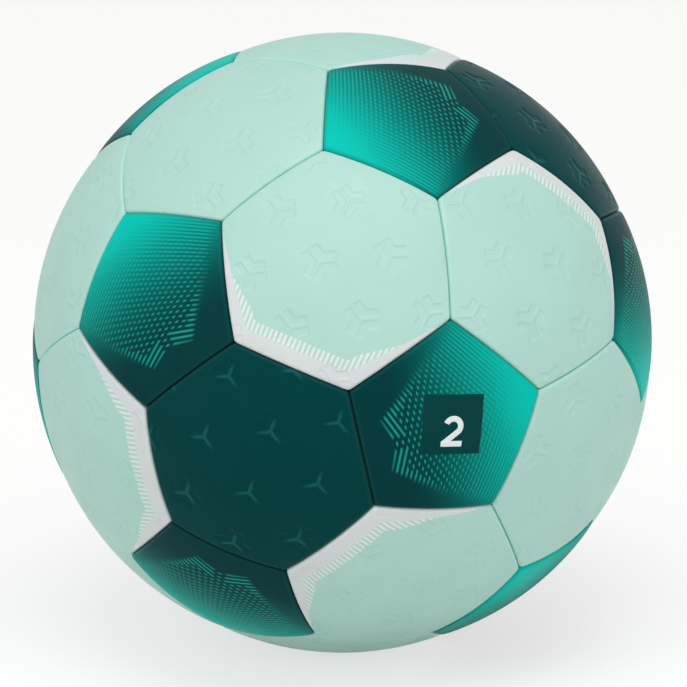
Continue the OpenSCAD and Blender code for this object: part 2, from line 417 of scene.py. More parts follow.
def face_radius(plane, panel, shape, motif=None, shift=(0, 0)):
    """Distance from the ball's middle to the panel's face: the crown, less the fall near the seams and
    the motifs' depth."""
    inset = seam_distance(plane, panel, shape)
    radii = crown_radius(np.linalg.norm(plane, axis=1), shape) - edge_fall(inset, shape)
    if motif is not None:
        fade = eased(inset, *MOTIF_START)
        flat = plane * shape.ball_radius
        radii -= motif.depth * fade * motif_depth(flat, motif, shift)
    return radii


def grid_quads(index):
    """Quads between neighbours in a grid of indices, or in a stack of such grids."""
    corners = [index[..., :-1, :-1], index[..., 1:, :-1], index[..., 1:, 1:], index[..., :-1, 1:]]
    return np.stack(corners, -1).reshape(-1, 4)


def kite_face(panel, cells):
    """Points of the regular polygon whose in-radius is 1, as one kite for each corner: a bilinear grid
    from the middle, over the middles of two sides, to the corner. Returns points, quads and the outline's
    loop."""
    n, m = panel.sides, cells
    steps = np.arange(m + 1) / m
    u, v = np.meshgrid(steps[1:], steps, indexing="ij")
    points = [np.zeros((1, 2))]
    turns = 2 * np.pi / n * np.arange(n + 1)
    feet = np.column_stack([np.cos(turns), np.sin(turns)])
    corner_turns = turns[:-1] + np.pi / n
    corners = np.column_stack([np.cos(corner_turns), np.sin(corner_turns)]) / math.cos(np.pi / n)
    for j in range(n):
        twist = corners[j] - feet[j] - feet[j + 1]
        grid = u[..., None] * feet[j] + v[..., None] * feet[j + 1] + (u * v)[..., None] * twist
        points.append(grid.reshape(-1, 2))
    index = np.zeros((n, m + 1, m + 1), int)
    block = m * (m + 1)
    own = np.arange(block).reshape(m, m + 1)
    for j in range(n):
        index[j, 1:, :] = 1 + j * block + own
    for j in range(n):
        index[j, 0, 1:] = index[(j + 1) % n, 1:, 0]
    loop = np.concatenate(
        [np.concatenate([index[j, m, :], index[j, m - 1:0:-1, m]]) for j in range(n)]
    )
    return np.concatenate(points), grid_quads(index), loop


def joined(loops):
    """Quads between successive loops of indices, each as long as the next."""
    strips = [
        np.stack([a, b, np.roll(b, -1), np.roll(a, -1)], -1)
        for a, b in zip(loops[:-1], loops[1:])
    ]
    return np.concatenate(strips)


def ring_plane(turns, inset, radius_at, panel, shape):
    """Points and radii of a loop that keeps its inset from the hem's wall, found by repeating the formula
    for the inset with the radius that it gives."""
    reach = outline_reach(turns, panel, shape)
    part = np.ones(len(turns))
    for _ in range(INSET_ROUNDS):
        away = part * reach
        scale = radius_at(away) * math.sin(panel.half) / np.sqrt(1 + away ** 2)
        part = 1 - (inset + shape.seam_gap / 2) / scale
    away = part * reach
    return np.column_stack([away * np.cos(turns), away * np.sin(turns)]), radius_at(away)


def cover_loops(turns, panel, shape):
    """The cover's loops from its face outwards: the shoulder's arc, the hem's outer wall, its lower edge
    and its inner wall. Each is a plane loop, its radii and its inset."""
    loops = []
    for k in range(1, ARC_LOOPS + 1):
        phi = math.pi / 2 * k / ARC_LOOPS
        inset = shape.shoulder * (1 - math.sin(phi))
        drop = shape.shoulder * (1 - math.cos(phi)) + edge_fall(inset, shape)
        plane, radii = ring_plane(
            turns, inset, lambda away, d=drop: crown_radius(away, shape) - d, panel, shape
        )
        loops.append((plane, radii, inset))
    low = shape.ball_radius - shape.hem_depth
    start = loops[-1][1].mean()
    walls = [(0.0, (start + low) / 2), (0.0, low), (shape.cover, low)]
    for inset, radius in walls:
        plane, radii = ring_plane(
            turns, inset, lambda away, r=radius: np.full(len(away), r), panel, shape
        )
        loops.append((plane, radii, inset))
    corner = shape.cover * INNER_CORNER
    plane, radii = ring_plane(
        turns, shape.cover, lambda away: crown_radius(away, shape) - corner, panel, shape
    )
    loops.append((plane, radii, shape.cover))
    return loops


def new_piece(name, points, quads, triangles=None, uv=None, inset=None):
    """A mesh object at the origin from whole arrays, smooth, with a UV map and the seam's distance."""
    mesh = bpy.data.meshes.new(name)
    triangles = np.zeros((0, 3), int) if triangles is None else triangles
    corners = np.concatenate([quads.reshape(-1), triangles.reshape(-1)]).astype(np.int32)
    starts = np.concatenate(
        [4 * np.arange(len(quads)), 4 * len(quads) + 3 * np.arange(len(triangles))]
    ).astype(np.int32)
    mesh.vertices.add(len(points))
    mesh.vertices.foreach_set("co", points.astype(np.float32).reshape(-1))
    mesh.loops.add(len(corners))
    mesh.loops.foreach_set("vertex_index", corners)
    mesh.polygons.add(len(starts))
    mesh.polygons.foreach_set("loop_start", starts)
    mesh.polygons.foreach_set("use_smooth", np.ones(len(starts), bool))
    mesh.update(calc_edges=True)
    if uv is not None:
        layer = mesh.uv_layers.new(name="panel_plane")
        layer.data.foreach_set("uv", uv[corners].astype(np.float32).reshape(-1))
    if inset is not None:
        attribute = mesh.attributes.new("seam_distance", "FLOAT", "POINT")
        attribute.data.foreach_set("value", inset.astype(np.float32))
    if mesh.validate():
        raise RuntimeError(f"the mesh of {name} has faulty faces")
    piece = bpy.data.objects.new(name, mesh)
    bpy.context.scene.collection.objects.link(piece)
    return piece


def build_cover(panel, shape, motif=None, shift=(0, 0), hole=0.0):
    """One closed cover. The face is a kite grid, or rings round the valve's hole, and the shoulder, the
    hem and the inner side are loops that follow its outline."""
    cells = shape.hexagon_cells if panel.sides == 6 else shape.pentagon_cells
    if hole:
        count = 2 * panel.sides * cells
        turns = 2 * np.pi / count * np.arange(count)
    else:
        unit, quads, loop = kite_face(panel, cells)
        turns = np.arctan2(unit[loop, 1], unit[loop, 0])
    top = lambda away: crown_radius(away, shape) - edge_fall(shape.shoulder, shape)
    rim, _ = ring_plane(turns, shape.shoulder, top, panel, shape)
    if hole:
        # Rings blend from the hole's circle to the outline.
        steps = (np.arange(cells + 1) / cells)[:, None, None]
        circle = np.column_stack([np.cos(turns), np.sin(turns)]) * hole / shape.ball_radius
        plane = (circle + (rim - circle) * steps).reshape(-1, 2)
        rings = np.arange(len(plane)).reshape(cells + 1, count)
        quads = joined(list(rings))
        loop = rings[-1]
    else:
        # The share of the way to the polygon's outline becomes the same share of the way to the rim.
        unit_turns = np.arctan2(unit[:, 1], unit[:, 0])
        to_sides = unit_turns[:, None] - 2 * np.pi / panel.sides * np.arange(panel.sides)
        part = np.linalg.norm(unit, axis=1) * np.cos(to_sides).max(1)
        reach, _ = ring_plane(unit_turns, shape.shoulder, top, panel, shape)
        plane = reach * part[:, None]
    points = [panel.place(plane, face_radius(plane, panel, shape, motif, shift))]
    planes = [plane]
    insets = [seam_distance(plane, panel, shape)]
    loops = [loop]

    def add_loop(ring, radii, inset):
        """A loop's points are numbered on from all the points before them."""
        total = sum(map(len, planes))
        points.append(panel.place(ring, radii))
        planes.append(ring)
        insets.append(np.full(len(ring), inset))
        loops.append(np.arange(total, total + len(ring)))

    for ring, radii, inset in cover_loops(turns, panel, shape):
        add_loop(ring, radii, inset)
    # The inner side follows the crown, one cover's thickness down, to the hole's circle or to a pole.
    last = planes[-1]
    ends = circle if hole else np.zeros_like(last)
    inner_rings = [ends + (last - ends) * part for part in INNER_SHARES]
    inner_rings.append(circle if hole else np.zeros((1, 2)))
    for ring in inner_rings:
        add_loop(ring, crown_radius(np.linalg.norm(ring, axis=1), shape) - shape.cover, shape.cover)
    if hole:
        triangles = None
        quads = np.concatenate([quads, joined(loops), joined([loops[-1], rings[0]])])
    else:
        pole = np.full(len(turns), loops.pop()[0])
        triangles = np.stack([loops[-1], pole, np.roll(loops[-1], -1)], -1)
        quads = np.concatenate([quads, joined(loops)])
    uv = np.concatenate(planes) * shape.ball_radius / UV_SPAN
    return new_piece(
        f"{panel.name}_leather", np.concatenate(points), quads, triangles, uv, np.concatenate(insets)
    )


# Materials

class Desk:
    """Adds nodes to a tree. Inputs are sockets, numbers or colours."""

    def __init__(self, tree):
        self.tree = tree

    def feed(self, socket, value):
        if isinstance(value, bpy.types.NodeSocket):
            self.tree.links.new(value, socket)
        elif socket.type == "RGBA" and len(value) == 3:
            socket.default_value = (*value, 1)
        else:
            socket.default_value = value

    def add(self, kind, fed=(), **settings):
        """A node with these settings. Its inputs are fed in order, or by name or number from a dict."""
        node = self.tree.nodes.new(kind)
        for name, value in settings.items():
            setattr(node, name, value)
        pairs = fed.items() if isinstance(fed, dict) else enumerate(fed)
        for key, value in pairs:
            self.feed(node.inputs[key], value)
        return node

    def math(self, operation, *values, clamp=False):
        return self.add("ShaderNodeMath", values, operation=operation, use_clamp=clamp).outputs[0]

    def plus(self, first, second):
        return self.math("ADD", first, second)

    def minus(self, first, second):
        return self.math("SUBTRACT", first, second)

    def times(self, first, second):
        return self.math("MULTIPLY", first, second)

    def ramp(self, value, rate, start):
        """The value times its rate, plus a start."""
        return self.math("MULTIPLY_ADD", value, rate, start)

    def most(self, first, second):
        return self.math("MAXIMUM", first, second)

    def vector(self, operation, *values):
        return self.add("ShaderNodeVectorMath", values, operation=operation).outputs[0]

    def dot(self, *values):
        return self.add("ShaderNodeVectorMath", values, operation="DOT_PRODUCT").outputs["Value"]

    def parts(self, vector):
        """The three coordinates of a vector."""
        return self.add("ShaderNodeSeparateXYZ", [vector]).outputs[:]

    def ease(self, value, low, high, start=0.0, end=1.0):
        """A smooth S from start, below low, to end, above high."""
        fed = (value, low, high, start, end)
        return self.add("ShaderNodeMapRange", fed, interpolation_type="SMOOTHSTEP").outputs[0]

    def fall(self, value, low, high):
        return self.ease(value, low, high, 1.0, 0.0)

    def blend(self, factor, first, second):
        """The number between two others at this share of the way."""
        return self.add("ShaderNodeMix", {0: factor, 2: first, 3: second}, data_type="FLOAT").outputs[0]

    def mix(self, factor, first, second, blend="MIX"):
        fed = {0: factor, 6: first, 7: second}
        return self.add("ShaderNodeMix", fed, data_type="RGBA", blend_type=blend).outputs[2]

    def group(self, tree, **values):
        return self.add("ShaderNodeGroup", spaced(values), node_tree=tree).outputs

    def noise(self, vector, scale, detail=2.0, roughness=0.5):
        fed = {"Vector": vector, "Scale": scale, "Detail": detail, "Roughness": roughness}
        return self.add("ShaderNodeTexNoise", fed).outputs[0]

    def bump(self, height, distance, strength, normal=None):
        fed = {"Strength": strength, "Distance": distance, "Height": height}
        if normal is not None:
            fed["Normal"] = normal
        return self.add("ShaderNodeBump", fed).outputs[0]


def spaced(values):
    """The same values by their sockets' names, which have spaces."""
    return {name.replace("_", " "): value for name, value in values.items()}


def new_group(name, inputs, outputs):
    """An empty node group with these float or vector inputs and float outputs, and its desk."""
    tree = bpy.data.node_groups.new(name, "ShaderNodeTree")
    for title, default in inputs:
        kind = "NodeSocketVector" if default is None else "NodeSocketFloat"
        socket = tree.interface.new_socket(title, in_out="INPUT", socket_type=kind)
        if default is not None:
            socket.default_value = default
    for title in outputs:
        tree.interface.new_socket(title, in_out="OUTPUT", socket_type="NodeSocketFloat")
    desk = Desk(tree)
    return tree, desk, desk.add("NodeGroupInput").outputs, desk.add("NodeGroupOutput").inputs


def leather_grain_group():
    """Fine pebbles and a slow change of tone, from a position in metres."""
    tree, desk, given, made = new_group(
        "leather_grain", [("Position", None), ("Pebbles per metre", 1500.0)], ["Height", "Tone"]
    )
    fed = {"Vector": given["Position"], "Scale": given["Pebbles per metre"]}
    pebbles = desk.add("ShaderNodeTexVoronoi", fed, feature="SMOOTH_F1")
    fine = desk.noise(given["Position"], scale=3200.0, detail=3.0, roughness=0.6)
    domes = desk.minus(1.0, pebbles.outputs["Distance"])
    desk.feed(made["Height"], desk.ramp(fine, 0.5, domes))
    desk.feed(made["Tone"], desk.noise(given["Position"], scale=70.0, roughness=0.55))
    return tree


def seam_shade_group():
    """Masks from the distance in metres: the crease between two hems, where the fold's painted shade or
    painted light goes, and the polished shoulder beside it, which also carries a painted highlight.
    """
    tree, desk, given, made = new_group("seam_shade", [("Distance", 0.0)], ["Crease", "Shoulder"])
    desk.feed(made["Crease"], desk.fall(given["Distance"], *CREASE_END))
    rise = desk.ease(given["Distance"], *SHOULDER_START)
    desk.feed(made["Shoulder"], desk.times(rise, desk.fall(given["Distance"], *SHOULDER_END)))
    return tree


def motif_group(motif):
    """The grip motif's hollow and its ridge, from a point of the panel's plane in metres: the same shape
    as motif_depth, with ridges that fade along the arms."""
    tree, desk, given, made = new_group("grip_motif", [("Point", None)], ["Depth", "Ridge"])
    width = motif.pitch
    height = motif.pitch * math.sqrt(3)
    hollows = []
    ridges = []
    for half_step in (0.0, 0.5):
        moved = desk.vector("SUBTRACT", given["Point"], (half_step * width, half_step * height, 0))
        folded = desk.vector(
            "WRAP", moved, (width / 2, height / 2, 1), (-width / 2, -height / 2, -1)
        )
        arms = [desk.dot(folded, (math.cos(turn), math.sin(turn), 0)) for turn in ARM_TURNS]
        along = desk.most(desk.most(arms[0], arms[1]), arms[2])
        square = desk.minus(desk.dot(folded, folded), desk.times(along, along))
        across = desk.math("SQRT", desk.most(square, 0.0))
        within = desk.fall(along, motif.arm - motif.soft, motif.arm)
        fading = desk.fall(along, motif.arm * RIDGE_FADE, motif.arm)
        sides = desk.fall(across, motif.half_width - motif.soft, motif.half_width)
        beside = desk.ease(across, motif.ridge, motif.ridge + motif.soft)
        hollows.append(desk.times(desk.times(within, sides), beside))
        ridges.append(desk.times(fading, desk.minus(1.0, beside)))
    desk.feed(made["Depth"], desk.most(*hollows))
    desk.feed(made["Ridge"], desk.most(*ridges))
    return tree


def stripes_group():
    """Soft-edged lines across a distance in metres. A higher threshold makes them narrower."""
    tree, desk, given, made = new_group(
        "print_stripes", [("Distance", 0.0), ("Pitch", 0.00125), ("Threshold", 0.5)], ["Line"]
    )
    turns = desk.math("DIVIDE", given["Distance"], given["Pitch"])
    wave = desk.math("COSINE", desk.times(turns, 2 * math.pi))
    level = desk.ramp(wave, 0.5, 0.5)
    low = desk.minus(given["Threshold"], LINE_SOFT)
    high = desk.plus(given["Threshold"], LINE_SOFT)
    desk.feed(made["Line"], desk.ease(level, low, high))
    return tree


def shared(name, maker, *values):
    """The node group of this name, made on its first use."""
    return bpy.data.node_groups.get(name) or maker(*values)


class MaterialDesk(Desk):
    """The desk of a material with one Principled shader, whose plain numbers are set on its own sockets,
    and the finishes that it can be given."""

    def __init__(self, name, **constants):
        self.material = bpy.data.materials.new(name)
        self.material.use_nodes = True
        super().__init__(self.material.node_tree)
        self.tree.nodes.clear()
        surface = self.add("ShaderNodeBsdfPrincipled", spaced(constants))
        self.add("ShaderNodeOutputMaterial", surface.outputs[:1])
        self.sockets = surface.inputs

    def put_on(self, piece):
        piece.data.materials.clear()
        piece.data.materials.append(self.material)

    def object_position(self):
        return self.add("ShaderNodeTexCoord").outputs["Object"]

    def plane_point(self):
        """The point of the panel's plane, in metres, from its UV map."""
        uv = self.add("ShaderNodeUVMap", uv_map="panel_plane").outputs[0]
        return self.vector("MULTIPLY", uv, (UV_SPAN, UV_SPAN, 0))

    def grain(self):
        """The leather's height and tone at a point of the piece."""
        group = shared("leather_grain", leather_grain_group)
        return self.group(group, Position=self.object_position())

    def grip_motif(self, motif, shift):
        """The motif's depth and ridge at a point of the panel's plane, its lattice moved by shift."""
        point = self.vector("SUBTRACT", self.plane_point(), (*shift, 0))
        return self.group(shared("grip_motif", motif_group, motif), Point=point)

    def printed_lines(self, distance, pitch, threshold):
        group = shared("print_stripes", stripes_group)
        return self.group(group, Distance=distance, Pitch=pitch, Threshold=threshold)["Line"]

    def fanned_distance(self, x, y, sign):
        """A distance across one family of lines, in metres: a quadratic in the point's x and y. The lines
        have their own pitch at the panel's middle, lie closest along their far side, and spread towards
        the dark end."""
        across = self.times(y, sign)
        along_rate = self.ramp(x, LINE_SPREAD[0], math.cos(LINE_TURN))
        along_rate = self.ramp(across, LINE_SPREAD[1], along_rate)
        across_rate = self.ramp(across, LINE_SPREAD[2], -math.sin(LINE_TURN))
        return self.plus(self.times(x, along_rate), self.times(across, across_rate))

    def finish(self, ground, roughness, normal):
        for title, value in (("Base Color", ground), ("Roughness", roughness), ("Normal", normal)):
            self.feed(self.sockets[title], value)

    def finish_leather(
        self, ground, roughness, motif=None, shift=(0, 0), ridges=None, edge=None, fold=DARK_FOLD_PAINTED_SHADE
    ):
        """Puts grain, tone, seam shading and the motif's crisp edges over a ground colour. Where the
        leather is turned into the seam the colour is multiplied by fold, which paints shade on dark
        leather and light on pale leather, and the shoulder is mixed towards edge, a painted highlight."""
        grain = self.grain()
        distance = self.add("ShaderNodeAttribute", attribute_name="seam_distance").outputs["Fac"]
        seam = self.group(shared("seam_shade", seam_shade_group), Distance=distance)
        tone = self.ease(grain["Tone"], *TONE_RANGE)
        # The shoulder is mixed towards the edge colour, a painted highlight on the turned edge
        if edge is not None:
            ground = self.mix(self.times(seam["Shoulder"], EDGE_HIGHLIGHT_WEIGHT), ground, edge)
        shaded = self.mix(1.0, ground, TONE_SHADE, "MULTIPLY")
        toned = self.mix(self.times(tone, TONE_WEIGHT), ground, shaded)
        # Over the crease the fold's factors paint shade on dark leather and light on pale leather
        folded = self.mix(1.0, toned, fold, "MULTIPLY")
        polished = self.times(seam["Shoulder"], SHOULDER_POLISH)
        worn = self.ramp(tone, TONE_ROUGHNESS, roughness)
        normal = self.bump(grain["Height"], GRAIN_HEIGHT, strength=0.35)
        if motif is not None:
            raised = self.minus(1.0, self.grip_motif(motif, shift)["Depth"])
            normal = self.bump(raised, motif.depth, strength=0.6, normal=normal)
        if ridges is not None:
            normal = self.bump(ridges, INK_HEIGHT, strength=0.8, normal=normal)
        self.finish(self.mix(seam["Crease"], toned, folded), self.plus(worn, polished), normal)

    def finish_relief(self, relief, ground, shade, roughness, height):
        """Puts a relief on a ground colour, with painted shade in its hollows, where the colour is
        multiplied by shade. The roughness is given as a mask, its weight and the roughness without it."""
        # Painted shade: the hollows are darker
        low = tuple(shade * c for c in ground)
        normal = self.bump(relief, height, strength=0.6)
        self.finish(self.mix(relief, low, ground[:]), self.ramp(*roughness), normal)


def print_ink(name, ground, worn, weight, roughness, specular):
    """A printed layer's material: ink over the leather's grain, with a worn colour where it is thin."""
    desk = MaterialDesk(name, Specular_IOR_Level=specular)
    grain = desk.grain()
    inked = desk.mix(desk.times(grain["Tone"], weight), ground[:], worn[:])
    normal = desk.bump(grain["Height"], GRAIN_HEIGHT, strength=0.3)
    desk.finish(inked, desk.ramp(grain["Tone"], 0.1, roughness), normal)
    return desk


def rubber(name, ground, roughness):
    """A moulded rubber: fine matt grain, a slow bloom of lighter dust and small dents."""
    desk = MaterialDesk(name, Specular_IOR_Level=0.4)
    bloom = desk.ease(desk.noise(desk.object_position(), scale=250.0, detail=3.0), 0.35, 0.75)
    dust = tuple(0.04 + 0.9 * c for c in ground)
    dusty = desk.mix(desk.times(bloom, 0.5), ground, dust)
    normal = desk.bump(desk.grain()["Height"], distance=0.00004, strength=0.4)
    desk.finish(dusty, desk.ramp(bloom, 0.2, roughness), normal)
    return desk


# Pieces

def settings(context):
    """The scene's shape, motif, print and colours."""
    scene = context.scene
    return scene.handball_shape, scene.handball_motif, scene.handball_print, scene.handball_colours


class BuildStep:
    """What the operators share: their options and the dressing of covers."""

    bl_options = {"REGISTER", "UNDO"}

    def dress(self, context, kind, material, slot, motif=None, shift=(0, 0)):
        shape = context.scene.handball_shape
        for name in [title for title in MIDDLES if kind in title]:
            hole = shape.valve_hole if name == "valve_pentagon" else 0.0
            piece = build_cover(Panel(name), shape, motif, shift, hole)
            material.put_on(piece)
            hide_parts(name)
            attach(piece, "root")


class HANDBALL_OT_dark_hexagons(BuildStep, bpy.types.Operator):
    """Build the dark teal hexagons with their grip motifs"""

    bl_idname = "handball.dark_hexagons"
    bl_label = "Dark Hexagons"

    def execute(self, context):
        _, motif, _, colours = settings(context)
        shift = MOTIF_SHIFTS["dark"]
        desk = MaterialDesk(
            "dark_leather", Specular_IOR_Level=0.03, Sheen_Weight=0.14, Sheen_Roughness=0.33
        )
        # The ridges get a painted highlight, the turned edges another painted highlight, and the crease
        # painted shade
        ridge = desk.times(desk.grip_motif(motif, shift)["Ridge"], RIDGE_HIGHLIGHT_WEIGHT)
        ground = desk.mix(ridge, colours.dark_teal[:], colours.ridge_highlight_teal[:])
        desk.finish_leather(ground, 0.46, motif, shift, edge=colours.painted_edge_highlight[:])
        self.dress(context, "dark_hexagon", desk, "dark_cover", motif, shift)
        return {"FINISHED"}


class HANDBALL_OT_plain_hexagons(BuildStep, bpy.types.Operator):
    """Build the plain mint hexagons with their grip motifs"""

    bl_idname = "handball.plain_hexagons"
    bl_label = "Plain Hexagons"

    def execute(self, context):
        _, motif, _, colours = settings(context)
        shift = MOTIF_SHIFTS["plain"]
        desk = MaterialDesk("plain_leather", Specular_IOR_Level=0.5)
        # The crease gets painted light
        desk.finish_leather(colours.mint[:], 0.5, motif, shift, fold=PALE_FOLD_PAINTED_LIGHT)
        self.dress(context, "plain_hexagon", desk, "mint_cover", motif, shift)
        return {"FINISHED"}


class HANDBALL_OT_banded_hexagons(BuildStep, bpy.types.Operator):
    """Build the mint hexagons with a printed band beside their dark neighbour"""

    bl_idname = "handball.banded_hexagons"
    bl_label = "Banded Hexagons"

    def execute(self, context):
        shape, motif, printed, colours = settings(context)
        shift = MOTIF_SHIFTS["banded"]
        desk = MaterialDesk("banded_leather", Specular_IOR_Level=0.5)
        x, y, _ = desk.parts(desk.plane_point())
        apart = desk.math("ABSOLUTE", y)
        # The band's edge runs straight along its side, then slopes to the two far corners.
        corner = shape.ball_radius * math.tan(HEX_HALF) / math.cos(math.pi / 6)
        slope = printed.band_edge / (corner - printed.band_half)
        sloping = desk.times(desk.minus(corner, apart), slope)
        into = desk.minus(x, desk.math("MINIMUM", sloping, printed.band_edge))
        band = desk.ease(into, -BAND_SOFT, BAND_SOFT)
        # The ticks are longest beside the bends, and shrink to nothing before the far corners.
        left = desk.minus(printed.comb_half, apart)
        shrinking = desk.most(desk.times(left, TICK_TAPER), 0.0)
        straight = desk.ease(left, *[printed.comb_half - place for place in TICK_BENDS])
        ticks_end = desk.blend(straight, shrinking, printed.tick_length)
        comb = desk.ease(desk.plus(into, ticks_end), -TICK_SOFT, TICK_SOFT)
        ticks = desk.printed_lines(y, printed.tick_pitch, TICK_THRESHOLD)
        teeth = desk.mix(ticks, colours.tick_dark[:], colours.tick_light[:])
        ground = desk.mix(comb, colours.mint[:], teeth)
        ground = desk.mix(band, ground, colours.band[:])
        # The crease gets painted light
        desk.finish_leather(ground, 0.5, motif, shift, fold=PALE_FOLD_PAINTED_LIGHT)
        self.dress(context, "banded_hexagon", desk, "banded_cover", motif, shift)
        return {"FINISHED"}


class HANDBALL_OT_pentagons(BuildStep, bpy.types.Operator):
    """Build the pentagons with their printed lines and dots, the valve's among them"""

    bl_idname = "handball.pentagons"
    bl_label = "Pentagons"

    def execute(self, context):
        shape, _, printed, colours = settings(context)
        desk = MaterialDesk("pentagon_leather", Specular_IOR_Level=0.04)
        x, y, _ = desk.parts(desk.plane_point())
        apart = desk.math("ABSOLUTE", y)
        # The print ends in two lobes, and each lobe's tip has the lines of one family alone.
        notch = desk.times(desk.most(desk.minus(NOTCH_HALF, apart), 0.0), NOTCH_RATE)
        beside = desk.most(desk.minus(apart, SLOPE_START), 0.0)
        end = desk.minus(PRINT_REACH, desk.plus(notch, desk.times(beside, SLOPE_RATE)))
        beyond = desk.minus(x, end)
        tip = desk.times(desk.ease(beyond, *TIP_REACH), desk.ease(apart, *TIP_APART))
        # The lines thin out towards the dark end, so that the dots where they cross grow rounder.
        threshold = desk.ease(x, *THINNING)
        side = shape.ball_radius * math.tan(PENT_HALF)
        inked = []
        for sign in (1, -1):
            distance = desk.fanned_distance(x, y, sign)
            line = desk.printed_lines(distance, printed.line_pitch, threshold)
            # This family fades out near the far side that the other one follows.
            across = desk.ramp(y, -sign * math.sin(2 * FIFTH), desk.times(x, math.cos(2 * FIFTH)))
            fading = desk.ease(desk.minus(side, across), *FAR_SIDE_FADE)
            gap = desk.times(desk.minus(1.0, line), fading)
            other_lobe = desk.ease(desk.times(y, -sign), 0.0, 0.0004)
            kept = desk.minus(1.0, desk.times(tip, other_lobe))
            inked.append(desk.minus(1.0, desk.times(gap, kept)))
        # Both colours change from the far corner to the side that the dark hexagon shares.
        spread = desk.math("DIVIDE", desk.minus(GROUND_DARK, x), GROUND_DARK - GROUND_BRIGHT)
        brighter = desk.math("POWER", desk.most(spread, 0.0), 2.0, clamp=True)
        ground = desk.mix(brighter, colours.deep_teal[:], colours.bright_teal[:])
        lines = desk.mix(desk.ease(x, *LINE_DIMMING), colours.bright_teal[:], colours.line_teal[:])
        # The lines stop sharply at the lobes' tips and fade out along their slopes.
        ending = desk.fall(beyond, desk.ramp(beside, END_SOFTER, END_SOFT[0]), END_SOFT[1])
        ink = desk.times(desk.times(*inked), ending)
        weight = desk.blend(desk.ease(x, *OPENING), 1.0, ink)
        printed_ground = desk.mix(desk.times(weight, ending), ground, lines)
        # The turned edges get the painted highlight, and the crease gets painted shade
        desk.finish_leather(printed_ground, 0.42, ridges=ink, edge=colours.painted_edge_highlight[:])
        self.dress(context, "pentagon", desk, "teal_cover")
        return {"FINISHED"}


def print_piece(name, grids, panel, shape, material):
    """A printed piece of thin closed slabs on a panel's face, one for each grid of points of the plane
    one unit out and its lift. A slab is the grid lifted over the face, the same grid as far below it, and
    a skirt between their rims."""
    points, quads, planes = [], [], []
    for grid, lift in grids:
        plane = grid.reshape(-1, 2)
        index = np.arange(len(plane)).reshape(grid.shape[:2])
        tops = grid_quads(index)
        rim = np.concatenate([index[:, 0], index[-1, 1:], index[-2::-1, -1], index[0, -2:0:-1]])
        low_rim = rim + len(plane)
        skirt = np.stack([rim, low_rim, np.roll(low_rim, -1), np.roll(rim, -1)], -1)
        slab = np.concatenate([tops, tops[:, ::-1] + len(plane), skirt])
        quads.append(slab + sum(map(len, planes)))
        radii = face_radius(plane, panel, shape)
        points += [panel.place(plane, radii + lift), panel.place(plane, radii - lift)]
        planes += [plane, plane]
    uv = np.concatenate(planes) * shape.ball_radius / UV_SPAN
    piece = new_piece(name, np.concatenate(points), np.concatenate(quads), None, uv)
    material.put_on(piece)
    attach(piece, "root")


class HANDBALL_OT_size_patch(BuildStep, bpy.types.Operator):
    """Print the dark patch with the size's numeral on its pentagon"""

    bl_idname = "handball.size_patch"
    bl_label = "Size Patch"

    def execute(self, context):
        shape, _, printed, colours = settings(context)
        panel = Panel("pentagon_12")
        turn = printed.patch_turn
        across = np.array([math.cos(turn), math.sin(turn)])
        upward = np.array([-math.sin(turn), math.cos(turn)])
        middle = np.array([-0.0014, -0.0007])

        def on_plane(grid):
            """The patch's middle, plus the grid's two distances along the patch's own axes."""
            flat = middle + grid[..., :1] * across + grid[..., 1:] * upward
            return flat / shape.ball_radius

        # The patch: a rectangular grid
        steps = np.linspace(-0.5, 0.5, 41)
        sizes = np.meshgrid(steps * printed.patch_width, steps * printed.patch_height, indexing="ij")
        ink = print_ink(
            "patch_print", colours.patch, colours.deep_teal, weight=0.2, roughness=0.4, specular=0.05
        )
        print_piece("size_patch", [(on_plane(np.stack(sizes, -1)), PATCH_LIFT)], panel, shape, ink)

        # The numeral: a bowl that runs on into a diagonal, and a foot
        widths = np.linspace(-0.5, 0.5, 7) * printed.stroke
        bowl_radius = 0.0022
        bowl_middle = np.array([0.00015, -0.0005])
        turns = np.radians(np.linspace(158, -38, 49))
        bowl = bowl_middle + bowl_radius * np.column_stack([np.cos(turns), np.sin(turns)])
        foot_left = np.array([-0.0025, -0.0055])
        slide = bowl[-1] + (foot_left - bowl[-1]) * np.linspace(0, 1, 41)[1:, None]
        path = np.concatenate([bowl, slide])
        along = np.gradient(path, axis=0)
        along /= np.linalg.norm(along, axis=1)[:, None]
        side = np.column_stack([-along[:, 1], along[:, 0]])
        stroke = path[:, None, :] + side[:, None, :] * widths[None, :, None]
        foot_half = 0.0031
        foot_height = -0.00555
        foot_steps = np.linspace(-foot_half, foot_half, 41)
        foot = np.stack(np.meshgrid(foot_steps, widths + foot_height, indexing="ij"), -1)
        strokes = [(on_plane(stroke), STROKE_LIFT), (on_plane(foot), FOOT_LIFT)]
        ink = print_ink(
            "numeral_print", colours.numeral, colours.tick_dark, weight=0.12, roughness=0.45, specular=0.3
        )
        print_piece("size_numeral", strokes, panel, shape, ink)
        return {"FINISHED"}


